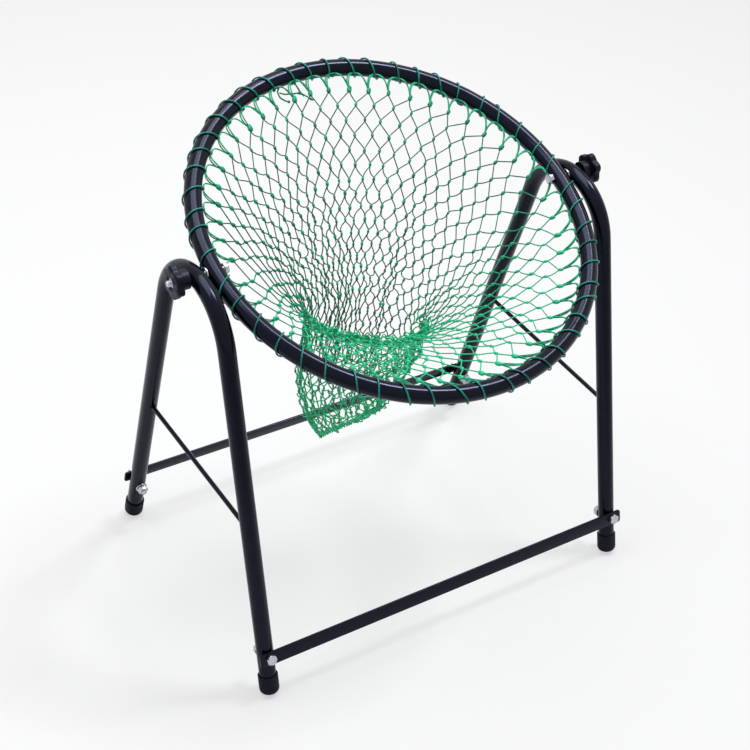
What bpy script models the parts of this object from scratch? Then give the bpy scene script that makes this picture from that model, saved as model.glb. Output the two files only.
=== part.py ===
# A golf chipping net: two hairpin side frames joined by flat bars, and between
# them a hoop with a laced net that tilts on two pivot bolts held by star knobs.
# Metres, +Z up. X runs along the pivot axis, the golfer stands towards -Y, and
# the origin is on the ground, midway between the four feet.

import math

import bmesh
import bpy
from mathutils import Matrix, Vector

# ---------------------------------------------------------------- driving sizes

SEAT = 0.0003                # gap between two pieces that touch
BORE_CLEARANCE = 0.0004      # radial play of a bolt in its hole

TUBE_DIAMETER = 0.022        # steel tube of the hoop and the side frames
TUBE_WALL = 0.0012

HOOP_RADIUS = 0.254          # to the tube's centreline
HOOP_TILT = math.radians(22.4)   # rear edge up, from level
PIVOT_HEIGHT = 0.514         # pivot axis, at the top of the side frames
BEND_RADIUS = 0.079          # top bend of a side frame, to the centreline
FOOT_SPREAD = 0.397          # front foot to rear foot, on the ground

BRACE_DIAMETER = 0.006
BRACE_FRONT_HEIGHT = 0.227   # where the brace rod meets the front leg
BRACE_REAR_HEIGHT = 0.240

BAR_WIDTH = 0.019            # flat stretcher bars
BAR_THICKNESS = 0.003
BAR_CORNER = 0.004
BAR_OVERHANG = 0.003         # past the outer side of the legs
FRONT_BAR_HEIGHT = 0.056
REAR_BAR_HEIGHT = 0.070

CAP_LENGTH = 0.028           # rubber foot caps
CAP_WALL = 0.0017
CAP_FLOOR = 0.004
CAP_ROUNDING = 0.008
CAP_FLAT_DEPTH = 0.0009      # worn flat where the cap meets the ground

BOLT_DIAMETER = 0.008
HEX_ACROSS_FLATS = 0.013
HEAD_HEIGHT = 0.0053
NUT_HEIGHT = 0.0065
BOLT_STUB = 0.0030           # thread that shows past a stretcher nut
WASHER_RADIUS = 0.008
WASHER_THICKNESS = 0.0016

PIVOT_WASHER_RADIUS = 0.008  # between the hoop and the side frames
PIVOT_WASHER_THICKNESS = 0.0020

KNOB_LOBES = 6
KNOB_POINTS = 36              # round its outline
KNOB_RADIUS = 0.021          # to the tips of the lobes
KNOB_LOBE_DEPTH = 0.0035
KNOB_BODY = 0.0095           # thickness of the lobed part
KNOB_EDGE = 0.0022           # rounding of its rims
KNOB_HUB_RADIUS = 0.0120
KNOB_HUB = 0.0115
KNOB_TURN_LEFT = math.radians(12)    # how far the left knob was turned past a lobe
INSERT_RADIUS = 0.0062       # threaded metal insert in the knob
INSERT_RECESS = 0.0010       # how far it sits below the knob's outer face
PIVOT_STUB = 0.0045          # pivot bolt end that shows past the knob

CORD_DIAMETER = 0.0024       # lacing
LACING_LOOPS = 24            # turns in a full circle of the hoop
LACING_START = math.radians(102)    # the cord's ends meet near the top
LACING_SPAN = math.radians(354)
LACING_POINTS = 12           # on each loop

STRAND = 0.0024              # twine of the net
NET_COLUMNS = 24
NET_ROWS = 8                 # half meshes from the rim to the throat
NET_RIM_DROP = 0.011         # rim twine below the hoop's plane
THROAT_X = -0.033            # middle of the throat, which hangs off centre
THROAT_HEIGHT = 0.380
THROAT_WIDTH = 0.174
THROAT_DEPTH = 0.108
THROAT_SLOPE = 0.026         # rise of the throat's left end over its middle
FUNNEL_CURVE = 1.5           # how late the funnel dives: 1 is a straight cone

POCKET_WALL = 0.0020
POCKET_BELLY_HEIGHT = 0.300
POCKET_BELLY_X = -0.047
POCKET_BELLY_WIDTH = 0.170
POCKET_BELLY_DEPTH = 0.090
POCKET_WAIST_HEIGHT = 0.243
POCKET_WAIST_X = -0.055
POCKET_WAIST_WIDTH = 0.116
POCKET_WAIST_DEPTH = 0.056
POCKET_SEAM_HEIGHT = 0.214
POCKET_SEAM_X = -0.050
POCKET_SEAM_WIDTH = 0.090
POCKET_SEAM_DEPTH = 0.010
POCKET_SEAM_SLOPE = -0.007   # the seam's left end hangs lower

TUBE_SIDES = 16
HOOP_SIDES = 12
HOOP_SEGMENTS = 56
BEND_SEGMENTS = 14
ROUND_SIDES = 18             # caps, washers and discs
BOLT_SIDES = 12              # a hexagon's corners and the middles of its flats

# ---------------------------------------------------------------- worked out

TUBE_RADIUS = TUBE_DIAMETER / 2
BOLT_RADIUS = BOLT_DIAMETER / 2
CORD_RADIUS = CORD_DIAMETER / 2
# The hoop's facets lie flat across the pivots, a little inside its true circle.
HOOP_FLAT = math.cos(math.pi / HOOP_SEGMENTS)
HOOP_OUTER_X = (HOOP_RADIUS + TUBE_RADIUS) * HOOP_FLAT
HOOP_INNER_X = (HOOP_RADIUS - TUBE_RADIUS) * HOOP_FLAT
FRAME_X = HOOP_OUTER_X + SEAT + PIVOT_WASHER_THICKNESS + SEAT + TUBE_RADIUS
PIVOT = Vector((0, 0, PIVOT_HEIGHT))
HOOP_REAR = Vector((0, math.cos(HOOP_TILT), math.sin(HOOP_TILT)))
HOOP_UP = Vector((0, -math.sin(HOOP_TILT), math.cos(HOOP_TILT)))

# The lacing's facets bend inwards between its points, so its line runs wider.
LACING_RADIUS = (TUBE_RADIUS + SEAT + CORD_RADIUS) / math.cos(math.pi / LACING_POINTS)
# The rim's twine lies mostly inside its line, so less than half of it counts here.
NET_RIM_REACH = LACING_RADIUS + CORD_RADIUS + SEAT + STRAND * 0.4
NET_RIM_RADIUS = HOOP_RADIUS - math.sqrt(NET_RIM_REACH ** 2 - NET_RIM_DROP ** 2)
# How far past a pivot the cord passes the rim's twine. The net's columns start there.
NET_TURN = (math.pi / 2 - math.asin(NET_RIM_DROP / NET_RIM_REACH)) / LACING_LOOPS


def clear_radius(radius, sides):
    # Radius of a polygon whose flats, and not its corners, lie on a circle.
    return radius / math.cos(math.pi / sides)


# ---------------------------------------------------------------- scene helpers

def clear_scene():
    for item in list(bpy.data.objects):
        bpy.data.objects.remove(item, do_unlink=True)


def make_material(name, color, roughness, metallic):
    material = bpy.data.materials.new(name)
    material.use_nodes = True
    shader = material.node_tree.nodes["Principled BSDF"]
    shader.inputs["Base Color"].default_value = (*color, 1)
    shader.inputs["Roughness"].default_value = roughness
    shader.inputs["Metallic"].default_value = metallic
    return material


def place(name, data, material, parent=None, matrix=None):
    item = bpy.data.objects.new(name, data)
    bpy.context.scene.collection.objects.link(item)
    if material:
        data.materials.append(material)
    item.parent = parent
    if matrix:
        item.matrix_local = matrix
    return item


def make_empty(name, matrix):
    empty = bpy.data.objects.new(name, None)
    bpy.context.scene.collection.objects.link(empty)
    empty.matrix_local = matrix
    return empty


def shade(mesh, degrees):
    mesh.shade_smooth()
    mesh.set_sharp_from_angle(angle=math.radians(degrees))


def loft(name, rings, closed=False, angle=35):
    # Skins a stack of rings with the same number of points. The ends are capped,
    # or the last ring joins the first when the stack is closed on itself.
    build = bmesh.new()
    rows = [[build.verts.new(point) for point in ring] for ring in rings]
    pairs = list(zip(rows, rows[1:]))
    if closed:
        pairs.append((rows[-1], rows[0]))
    count = len(rows[0])
    for low, high in pairs:
        for i in range(count):
            j = (i + 1) % count
            build.faces.new((low[i], low[j], high[j], high[i]))
    if not closed:
        build.faces.new(reversed(rows[0]))
        build.faces.new(rows[-1])
    bmesh.ops.recalc_face_normals(build, faces=build.faces)
    mesh = bpy.data.meshes.new(name)
    build.to_mesh(mesh)
    build.free()
    shade(mesh, angle)
    return mesh


def circle(radius, height, sides):
    turn = 2 * math.pi / sides
    return [Vector((radius * math.cos(i * turn), radius * math.sin(i * turn), height))
            for i in range(sides)]


def hexagon(across_flats, height):
    # Twelve points: the six corners and the six middles of the flats.
    ring = []
    for i in range(BOLT_SIDES):
        reach = across_flats / 2
        if i % 2 == 0:
            reach = clear_radius(reach, 6)
        turn = i * 2 * math.pi / BOLT_SIDES
        ring.append(Vector((reach * math.cos(turn), reach * math.sin(turn), height)))
    return ring


def along(point, direction):
    # A matrix whose local +Z runs along a direction, with its origin at a point.
    turn = Vector((0, 0, 1)).rotation_difference(direction)
    return Matrix.Translation(point) @ turn.to_matrix().to_4x4()


def make_cutter(name, data, matrix=None):
    cutter = place(name, data, None, matrix=matrix)
    cutter.hide_render = True
    cutter.display_type = "WIRE"
    return cutter


def cut(item, cutter):
    modifier = item.modifiers.new("cut_" + cutter.name, "BOOLEAN")
    modifier.operation = "DIFFERENCE"
    modifier.solver = "EXACT"
    modifier.object = cutter


def bore_cutter(name, point, direction, length, radius, sides=16):
    ends = [circle(clear_radius(radius, sides), z, sides) for z in (-length / 2, length / 2)]
    return make_cutter(name, loft(name, ends), along(point, direction))


# ---------------------------------------------------------------- side frames

def leg_tangent():
    # Where the front leg's centreline meets the top bend, seen in the Y-Z plane.
    centre_z = PIVOT_HEIGHT - BEND_RADIUS
    half = FOOT_SPREAD / 2
    reach = math.hypot(half, centre_z)
    slope = math.atan2(centre_z, half) + math.asin(BEND_RADIUS / reach)
    length = math.sqrt(reach ** 2 - BEND_RADIUS ** 2)
    return Vector((0, -half + length * math.cos(slope), length * math.sin(slope)))


TANGENT = leg_tangent()
FRONT_FOOT = Vector((0, -FOOT_SPREAD / 2, 0))
LEG_UP = (TANGENT - FRONT_FOOT).normalized()
LEG_OUT = Vector((0, -LEG_UP.z, LEG_UP.y))


def mirrored(vector, end):
    # end is -1 at the front legs and +1 at the rear legs.
    return Vector((vector.x, -end * vector.y, vector.z))


def leg_point(side, end, height):
    # The point at a height on the centreline of a leg.
    point = FRONT_FOOT + LEG_UP * (height / LEG_UP.z)
    point = mirrored(point, end)
    point.x = side * FRAME_X
    return point


def cap_base():
    # Distance along the leg from the ground to the cap's lower face, which puts
    # the cap's lowest edge just under the ground before it is cut flat.
    lean = LEG_UP.y
    rim = cap_outer_radius() - CAP_ROUNDING
    drop = rim * lean + CAP_ROUNDING - CAP_FLAT_DEPTH
    return drop / LEG_UP.z - CAP_ROUNDING


def cap_outer_radius():
    return TUBE_RADIUS + SEAT + CAP_WALL


def frame_mesh(name):
    # A bent tube, open at both feet, swept in the Y-Z plane.
    start = FRONT_FOOT + LEG_UP * (cap_base() + CAP_FLOOR + SEAT)
    centre = Vector((0, 0, PIVOT_HEIGHT - BEND_RADIUS))
    first = math.atan2(TANGENT.z - centre.z, TANGENT.y)
    stations = [(start, LEG_OUT)]
    for i in range(BEND_SEGMENTS + 1):
        angle = first + (math.pi - 2 * first) * i / BEND_SEGMENTS
        out = Vector((0, math.cos(angle), math.sin(angle)))
        stations.append((centre + out * BEND_RADIUS, out))
    stations.append((mirrored(start, 1), mirrored(LEG_OUT, 1)))
    side = Vector((1, 0, 0))
    rings = []
    for radius in (TUBE_RADIUS, TUBE_RADIUS - TUBE_WALL):
        walk = stations if radius == TUBE_RADIUS else stations[::-1]
        for point, out in walk:
            rings.append([point + side * p.x + out * p.y
                          for p in circle(radius, 0, TUBE_SIDES)])
    return loft(name, rings, closed=True)


def brace_mesh(name):
    low = leg_point(0, -1, BRACE_FRONT_HEIGHT)
    high = leg_point(0, 1, BRACE_REAR_HEIGHT)
    span = (high - low).length
    matrix = along(low, high - low)
    rings = [[matrix @ p for p in circle(BRACE_DIAMETER / 2, z, BOLT_SIDES)]
             for z in (0, span)]
    return loft(name, rings)


def cap_mesh(name):
    # Turned about the leg: a rounded cup that the tube's end drops into.
    outer = cap_outer_radius()
    inner = clear_radius(TUBE_RADIUS + SEAT, ROUND_SIDES)
    rings = []
    for step in range(5):
        turn = step * math.pi / 8
        radius = outer - CAP_ROUNDING + CAP_ROUNDING * math.sin(turn)
        height = CAP_ROUNDING - CAP_ROUNDING * math.cos(turn)
        rings.append(circle(radius, height, ROUND_SIDES))
    lip = CAP_WALL / 3
    rings.append(circle(outer, CAP_LENGTH - lip, ROUND_SIDES))
    rings.append(circle(outer - lip, CAP_LENGTH, ROUND_SIDES))
    rings.append(circle(inner, CAP_LENGTH, ROUND_SIDES))
    rings.append(circle(inner, CAP_FLOOR, ROUND_SIDES))
    return loft(name, rings)


# ---------------------------------------------------------------- fasteners

def bolt_mesh(name, length):
    # Head above z = 0, shank below it.
    tip = BOLT_RADIUS * 0.8
    rings = [
        circle(tip, -length, BOLT_SIDES),
        circle(BOLT_RADIUS, -length + BOLT_RADIUS - tip, BOLT_SIDES),
        circle(BOLT_RADIUS, 0, BOLT_SIDES),
        hexagon(HEX_ACROSS_FLATS, 0),
        hexagon(HEX_ACROSS_FLATS, HEAD_HEIGHT * 0.82),
        circle(HEX_ACROSS_FLATS * 0.46, HEAD_HEIGHT, BOLT_SIDES),
    ]
    return loft(name, rings)


def nut_mesh(name):
    bore = clear_radius(BOLT_RADIUS + SEAT, BOLT_SIDES)
    edge = HEX_ACROSS_FLATS * 0.47
    chamfer = NUT_HEIGHT * 0.14
    rings = [
        circle(edge, 0, BOLT_SIDES),
        hexagon(HEX_ACROSS_FLATS, chamfer),
        hexagon(HEX_ACROSS_FLATS, NUT_HEIGHT - chamfer),
        circle(edge, NUT_HEIGHT, BOLT_SIDES),
        circle(bore, NUT_HEIGHT, BOLT_SIDES),
        circle(bore, 0, BOLT_SIDES),
    ]
    return loft(name, rings, closed=True)


def disc_mesh(name, radius, thickness, bore=BOLT_RADIUS + BORE_CLEARANCE):
    inner = clear_radius(bore, ROUND_SIDES)
    rings = [
        circle(radius, 0, ROUND_SIDES),
        circle(radius, thickness, ROUND_SIDES),
        circle(inner, thickness, ROUND_SIDES),
        circle(inner, 0, ROUND_SIDES),
    ]
    return loft(name, rings, closed=True)


# ---------------------------------------------------------------- stretcher bars

def bar_mesh(name):
    # A flat strip with rounded corners; local Y is its width, Z its thickness.
    half_length = FRAME_X + TUBE_RADIUS + BAR_OVERHANG - BAR_CORNER
    half_width = BAR_WIDTH / 2 - BAR_CORNER
    rings = []
    for z in (-BAR_THICKNESS / 2, BAR_THICKNESS / 2):
        ring = []
        for corner, (sx, sy) in enumerate(((1, 1), (-1, 1), (-1, -1), (1, -1))):
            for step in range(5):
                turn = (corner + step / 4) * math.pi / 2
                ring.append(Vector((sx * half_length + BAR_CORNER * math.cos(turn),
                                    sy * half_width + BAR_CORNER * math.sin(turn), z)))
        rings.append(ring)
    return loft(name, rings)


# ---------------------------------------------------------------- star knob

def knob_ring(reach, depth, height):
    # Lobes as a cosine wave round a circle; depth 0 gives a plain circle.
    ring = []
    for i in range(KNOB_POINTS):
        turn = i * 2 * math.pi / KNOB_POINTS
        wave = 0.5 - 0.5 * math.cos(KNOB_LOBES * turn)
        radius = reach - depth * wave ** 1.1
        ring.append(Vector((radius * math.cos(turn), radius * math.sin(turn), height)))
    return ring


def knob_mesh(name):
    # The hub's face is at z = 0 and the knob grows outwards from the frame.
    top = KNOB_HUB + KNOB_BODY
    inset = KNOB_EDGE * 0.4
    bore = clear_radius(INSERT_RADIUS + SEAT, KNOB_POINTS)
    full = KNOB_LOBE_DEPTH
    rings = [
        knob_ring(KNOB_HUB_RADIUS, 0, 0),
        knob_ring(KNOB_HUB_RADIUS, 0, KNOB_HUB),
        knob_ring(KNOB_RADIUS - KNOB_EDGE, full, KNOB_HUB),
        knob_ring(KNOB_RADIUS, full, KNOB_HUB + KNOB_EDGE * 0.7),
        knob_ring(KNOB_RADIUS, full, top - KNOB_EDGE),
        knob_ring(KNOB_RADIUS - inset, full, top - inset),
        knob_ring(KNOB_RADIUS - KNOB_EDGE, full * 0.8, top),
        knob_ring(bore, 0, top),
        knob_ring(bore, 0, 0),
    ]
    return loft(name, rings, closed=True)


# ---------------------------------------------------------------- hoop and lacing

def hoop_mesh(name):
    # A hollow ring in the local X-Y plane. Its inside opens at the pivot bores.
    build = bmesh.new()
    for radius, inward in ((TUBE_RADIUS, False), (TUBE_RADIUS - TUBE_WALL, True)):
        rows = []
        for k in range(HOOP_SEGMENTS):
            turn = (k + 0.5) * 2 * math.pi / HOOP_SEGMENTS
            out = Vector((math.cos(turn), math.sin(turn), 0))
            rows.append([build.verts.new(out * (HOOP_RADIUS + p.x) + Vector((0, 0, p.y)))
                         for p in circle(radius, 0, HOOP_SIDES)])
        for k in range(HOOP_SEGMENTS):
            low, high = rows[k], rows[(k + 1) % HOOP_SEGMENTS]
            for i in range(HOOP_SIDES):
                j = (i + 1) % HOOP_SIDES
                quad = (low[i], high[i], high[j], low[j])
                build.faces.new(reversed(quad) if not inward else quad)
    mesh = bpy.data.meshes.new(name)
    build.normal_update()
    build.to_mesh(mesh)
    build.free()
    shade(mesh, 35)
    return mesh


def lacing_points():
    # A helix wound round the hoop's tube. It passes under both pivot bolts.
    count = round(LACING_LOOPS * LACING_POINTS * LACING_SPAN / (2 * math.pi))
    points = []
    for i in range(count + 1):
        turn = LACING_START + LACING_SPAN * i / count
        wrap = -math.pi / 2 - LACING_LOOPS * turn
        reach = HOOP_RADIUS + LACING_RADIUS * math.cos(wrap)
        points.append(Vector((reach * math.cos(turn), reach * math.sin(turn),
                              LACING_RADIUS * math.sin(wrap))))
    return points


def least_gap(points):
    # Least space between parts of the cord more than half a loop apart.
    skip = LACING_POINTS // 2
    nearest = min((a - b).length for i, a in enumerate(points) for b in points[i + skip:])
    return nearest - CORD_DIAMETER


def cord_curve(name, points):
    curve = bpy.data.curves.new(name, "CURVE")
    curve.dimensions = "3D"
    curve.bevel_depth = CORD_RADIUS
    curve.bevel_resolution = 1
    curve.use_fill_caps = True
    spline = curve.splines.new("POLY")
    spline.points.add(len(points) - 1)
    for target, point in zip(spline.points, points):
        target.co = (*point, 1)
    return curve


# ---------------------------------------------------------------- net

def column_turn(i):
    return NET_TURN + i * 2 * math.pi / NET_COLUMNS


def rim_point(turn):
    out = Vector((math.cos(turn), 0, 0)) + HOOP_REAR * math.sin(turn)
    return out * NET_RIM_RADIUS - HOOP_UP * NET_RIM_DROP


def throat_point(turn):
    # Seen from the pivot, like every point of the net.
    return Vector((THROAT_X + THROAT_WIDTH / 2 * math.cos(turn),
                   THROAT_DEPTH / 2 * math.sin(turn),
                   THROAT_HEIGHT - PIVOT_HEIGHT - THROAT_SLOPE * math.cos(turn)))


def funnel_point(turn, fall):
    # fall runs from 0 at the rim to 1 at the throat.
    rim = rim_point(turn)
    throat = throat_point(turn)
    point = rim.lerp(throat, fall)
    point.z = rim.z + (throat.z - rim.z) * fall ** FUNNEL_CURVE
    return point


def funnel_mesh(name):
    # Diamonds between staggered rows, closed by a line of twine at both ends.
    build = bmesh.new()
    rows = []
    for j in range(NET_ROWS + 1):
        stagger = 0.5 * (j % 2)
        rows.append([build.verts.new(funnel_point(column_turn(i + stagger), j / NET_ROWS))
                     for i in range(NET_COLUMNS)])
    for j in range(NET_ROWS + 1):
        for i in range(NET_COLUMNS):
            between = (i + j % 2) % NET_COLUMNS
            corners = [rows[j][i], rows[j][(i + 1) % NET_COLUMNS]]
            if j < NET_ROWS:
                corners.insert(1, rows[j + 1][between])
            if j > 0:
                corners.append(rows[j - 1][between])
            build.faces.new(corners)
    bmesh.ops.recalc_face_normals(build, faces=build.faces)
    mesh = bpy.data.meshes.new(name)
    build.to_mesh(mesh)
    build.free()
    return mesh


def pocket_ring(height, centre, width, depth, slope, inset=0.0):
    ring = []
    for i in range(NET_COLUMNS):
        turn = column_turn(i)
        ring.append(Vector((centre + (width / 2 - inset) * math.cos(turn),
                            (depth / 2 - inset) * math.sin(turn),
                            height - PIVOT_HEIGHT - slope * math.cos(turn))))
    return ring


def pocket_mesh(name):
    # A thin bag: up the outside from the sewn seam, over the mouth, down inside.
    half = POCKET_WALL / 2
    mouth = THROAT_HEIGHT - STRAND / 2 - SEAT
    stations = (
        (POCKET_SEAM_HEIGHT, POCKET_SEAM_X, POCKET_SEAM_WIDTH, POCKET_SEAM_DEPTH,
         POCKET_SEAM_SLOPE),
        (POCKET_WAIST_HEIGHT, POCKET_WAIST_X, POCKET_WAIST_WIDTH, POCKET_WAIST_DEPTH, 0),
        (POCKET_BELLY_HEIGHT, POCKET_BELLY_X, POCKET_BELLY_WIDTH, POCKET_BELLY_DEPTH,
         THROAT_SLOPE / 3),
        (mouth, THROAT_X, THROAT_WIDTH, THROAT_DEPTH, THROAT_SLOPE),
    )
    outside = [pocket_ring(*station, inset=-half) for station in stations]
    inside = [pocket_ring(*station, inset=half) for station in stations[::-1]]
    for point in inside[-1]:
        point.z += POCKET_WALL
    return loft(name, outside + inside, angle=50)


# ---------------------------------------------------------------- assembly

def build_side(side, name, materials, pivot_bore, ground):
    # One hairpin frame with its brace, caps and stretcher fasteners.
    stand = make_empty("side_" + name, Matrix.Translation((side * FRAME_X, 0, 0)))
    frame = place("frame_" + name, frame_mesh("frame_" + name), materials["paint"], stand)
    cut(frame, pivot_bore)
    brace = place("brace_rod_" + name, brace_mesh("brace_rod_" + name),
                  materials["paint"], stand)
    bores = {}
    for end, label in ((-1, "front"), (1, "rear")):
        up = mirrored(LEG_UP, end)
        out = mirrored(LEG_OUT, end)
        place_name = label + "_" + name
        foot = leg_point(side, end, 0)
        cope = bore_cutter("cope_" + place_name, foot + up * BRACE_REAR_HEIGHT, up,
                           BRACE_REAR_HEIGHT, TUBE_RADIUS + SEAT)
        cut(brace, cope)
        cap = place("foot_cap_" + place_name, cap_mesh("foot_cap_" + place_name),
                    materials["rubber"], matrix=along(foot + up * cap_base(), up))
        cut(cap, ground)
        height = FRONT_BAR_HEIGHT if end < 0 else REAR_BAR_HEIGHT
        axle = leg_point(side, end, height)
        bore = bore_cutter("bore_" + place_name, axle, out, 4 * TUBE_DIAMETER,
                           BOLT_RADIUS + BORE_CLEARANCE)
        cut(frame, bore)
        bores[label] = bore
        add_stretcher_bolt(place_name, axle, out, materials)
    return bores


def add_stretcher_bolt(place_name, axle, out, materials):
    # Head on the bar's outer face, washer and nut on the far side of the leg.
    head = TUBE_RADIUS + SEAT + BAR_THICKNESS + SEAT
    washer = TUBE_RADIUS + SEAT
    nut = washer + WASHER_THICKNESS + SEAT
    length = head + nut + NUT_HEIGHT + BOLT_STUB
    name = "stretcher_bolt_" + place_name
    place(name, bolt_mesh(name, length), materials["zinc"], matrix=along(axle + out * head, out))
    name = "stretcher_washer_" + place_name
    place(name, disc_mesh(name, WASHER_RADIUS, WASHER_THICKNESS), materials["zinc"],
          matrix=along(axle - out * washer, -out))
    name = "stretcher_nut_" + place_name
    place(name, nut_mesh(name), materials["zinc"], matrix=along(axle - out * nut, -out))


def build_bar(end, label, bores, materials):
    height = FRONT_BAR_HEIGHT if end < 0 else REAR_BAR_HEIGHT
    out = mirrored(LEG_OUT, end)
    centre = leg_point(0, end, height) + out * (TUBE_RADIUS + SEAT + BAR_THICKNESS / 2)
    name = label + "_stretcher"
    across = Vector((1, 0, 0))
    width = out.cross(across)
    turn = Matrix((across, width, out)).transposed().to_4x4()
    bar = place(name, bar_mesh(name), materials["paint"],
                matrix=Matrix.Translation(centre) @ turn)
    for bore in bores:
        cut(bar, bore)


def build_pivot(side, name, materials):
    # From the inside of the hoop outwards: bolt head, hoop, washer, side frame,
    # star knob with its threaded insert.
    outward = Vector((side, 0, 0))
    head = HOOP_INNER_X - SEAT
    washer = HOOP_OUTER_X + SEAT
    hub = FRAME_X + TUBE_RADIUS + SEAT
    knob_top = hub + KNOB_HUB + KNOB_BODY
    bolt_name = "pivot_bolt_" + name
    place(bolt_name, bolt_mesh(bolt_name, knob_top + PIVOT_STUB - head), materials["zinc"],
          matrix=along(PIVOT + outward * head, -outward))
    washer_name = "pivot_washer_" + name
    place(washer_name, disc_mesh(washer_name, PIVOT_WASHER_RADIUS, PIVOT_WASHER_THICKNESS),
          materials["zinc"], matrix=along(PIVOT + outward * washer, outward))
    turned = Matrix.Rotation(KNOB_TURN_LEFT if side < 0 else 0, 4, "Z")
    axis = make_empty("knob_axis_" + name, along(PIVOT + outward * hub, outward) @ turned)
    knob_name = "star_knob_" + name
    place(knob_name, knob_mesh(knob_name), materials["plastic"], axis)
    insert_name = "knob_insert_" + name
    insert = disc_mesh(insert_name, INSERT_RADIUS, KNOB_HUB + KNOB_BODY - INSERT_RECESS)
    place(insert_name, insert, materials["zinc"], axis)


def build_hoop(materials, pivot_bore):
    tilt = Matrix.Translation(PIVOT) @ Matrix.Rotation(HOOP_TILT, 4, "X")
    axis = make_empty("hoop_axis", tilt)
    hoop = place("hoop_tube", hoop_mesh("hoop_tube"), materials["paint"], axis)
    cut(hoop, pivot_bore)
    points = lacing_points()
    print("lacing: least gap to itself %.1f mm" % (least_gap(points) * 1000))
    place("lacing_cord", cord_curve("lacing_cord", points), materials["lacing"], axis)


def build_net(materials):
    centre = Matrix.Translation(PIVOT)
    funnel = place("net_funnel", funnel_mesh("net_funnel"), materials["twine"], matrix=centre)
    twine = funnel.modifiers.new("twine", "WIREFRAME")
    twine.thickness = STRAND
    twine.use_replace = True
    twine.use_boundary = True
    twine.use_even_offset = False
    place("net_pocket", pocket_mesh("net_pocket"), materials["twine"], matrix=centre)


def main():
    clear_scene()
    materials = {
        "paint": make_material("black_paint", (0.012, 0.013, 0.017), 0.28, 0.0),
        "rubber": make_material("black_rubber", (0.015, 0.015, 0.018), 0.65, 0.0),
        "plastic": make_material("black_plastic", (0.018, 0.018, 0.021), 0.5, 0.0),
        "zinc": make_material("zinc_plate", (0.72, 0.74, 0.76), 0.3, 1.0),
        "lacing": make_material("lacing_green", (0.01, 0.24, 0.14), 0.6, 0.0),
        "twine": make_material("twine_green", (0.01, 0.38, 0.16), 0.6, 0.0),
    }
    reach = 2 * (FRAME_X + TUBE_DIAMETER)
    pivot_bore = bore_cutter("pivot_bore", PIVOT, Vector((1, 0, 0)), reach,
                             BOLT_RADIUS + BORE_CLEARANCE)
    slab = loft("ground_slab", [[Vector((x, y, z)) for x, y in
                                 ((-reach, -reach), (reach, -reach), (reach, reach), (-reach, reach))]
                                for z in (-TUBE_DIAMETER, 0)])
    ground = make_cutter("ground_slab", slab)
    sides = [build_side(side, name, materials, pivot_bore, ground)
             for side, name in ((-1, "left"), (1, "right"))]
    for end, label in ((-1, "front"), (1, "rear")):
        build_bar(end, label, [bores[label] for bores in sides], materials)
    for side, name in ((-1, "left"), (1, "right")):
        build_pivot(side, name, materials)
    build_hoop(materials, pivot_bore)
    build_net(materials)


main()
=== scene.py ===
from math import asin, atan2, cos, exp, hypot, log, pi, radians, remainder, sin, sqrt

import bmesh
import bpy
import numpy as np
from mathutils import Matrix, Vector


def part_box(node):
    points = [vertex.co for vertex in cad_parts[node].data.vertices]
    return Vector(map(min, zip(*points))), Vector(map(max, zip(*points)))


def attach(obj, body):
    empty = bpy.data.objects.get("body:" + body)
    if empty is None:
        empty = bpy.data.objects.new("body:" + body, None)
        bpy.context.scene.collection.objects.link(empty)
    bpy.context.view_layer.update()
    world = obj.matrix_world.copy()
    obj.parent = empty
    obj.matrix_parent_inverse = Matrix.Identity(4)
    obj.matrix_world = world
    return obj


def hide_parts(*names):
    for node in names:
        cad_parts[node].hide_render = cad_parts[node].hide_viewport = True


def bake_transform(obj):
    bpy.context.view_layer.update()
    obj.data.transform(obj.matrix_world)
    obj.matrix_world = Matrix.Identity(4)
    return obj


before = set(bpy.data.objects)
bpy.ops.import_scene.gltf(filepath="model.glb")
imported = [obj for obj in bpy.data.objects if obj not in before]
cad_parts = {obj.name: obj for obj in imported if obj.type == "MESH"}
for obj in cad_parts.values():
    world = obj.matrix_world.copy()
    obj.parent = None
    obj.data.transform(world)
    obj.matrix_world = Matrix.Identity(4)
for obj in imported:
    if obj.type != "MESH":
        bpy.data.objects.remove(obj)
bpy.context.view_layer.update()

print("frame loaded:", len(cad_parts), "solids")

# sizes shared by several pieces, in metres
stand = {
    "pivotHeight": 0.514,
    "tubeRadius": 0.011,
    "tubeWall": 0.0012,
    "hoopRadius": 0.254,
    "hoopTilt": radians(22.4),
    "bendRadius": 0.079,
    "footSpread": 0.397,
    "barThickness": 0.003,
    "boltRadius": 0.004,
    "boltPlay": 0.0004,    # between a bolt and its hole
    "touch": 0.0003,       # air between two pieces that touch
}
sides = (("Left", -1), ("Right", 1))
ends = (("Front", -1, 0.056), ("Rear", 1, 0.070))    # with the height of each stretcher's bolts
tubeRadius, hoopRadius = stand["tubeRadius"], stand["hoopRadius"]
pivot = Vector((0, 0, stand["pivotHeight"]))
hoopRear = Vector((0, cos(stand["hoopTilt"]), sin(stand["hoopTilt"])))
hoopUp = Vector((0, -sin(stand["hoopTilt"]), cos(stand["hoopTilt"])))
frameX = (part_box("frame_right")[0].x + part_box("frame_right")[1].x) / 2


def toLinear(text):
    # sRGB hex text to the linear colour that a shader takes
    parts = [int(text[i:i + 2], 16) / 255 for i in (1, 3, 5)]
    return [c / 12.92 if c <= 0.04045 else ((c + 0.055) / 1.055) ** 2.4 for c in parts] + [1]


def feed(tree, node, inputs=None, links=None):
    # a node's socket values and incoming links
    for name, value in (inputs or {}).items():
        node.inputs[name].default_value = value
    for name, source in (links or {}).items():
        tree.links.new(source, node.inputs[name])
    return node


def addNode(tree, kind, inputs=None, links=None, **settings):
    # one node with its settings, its socket values and its incoming links
    node = tree.nodes.new(kind)
    for name, value in settings.items():
        setattr(node, name, value)
    return feed(tree, node, inputs, links)


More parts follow.
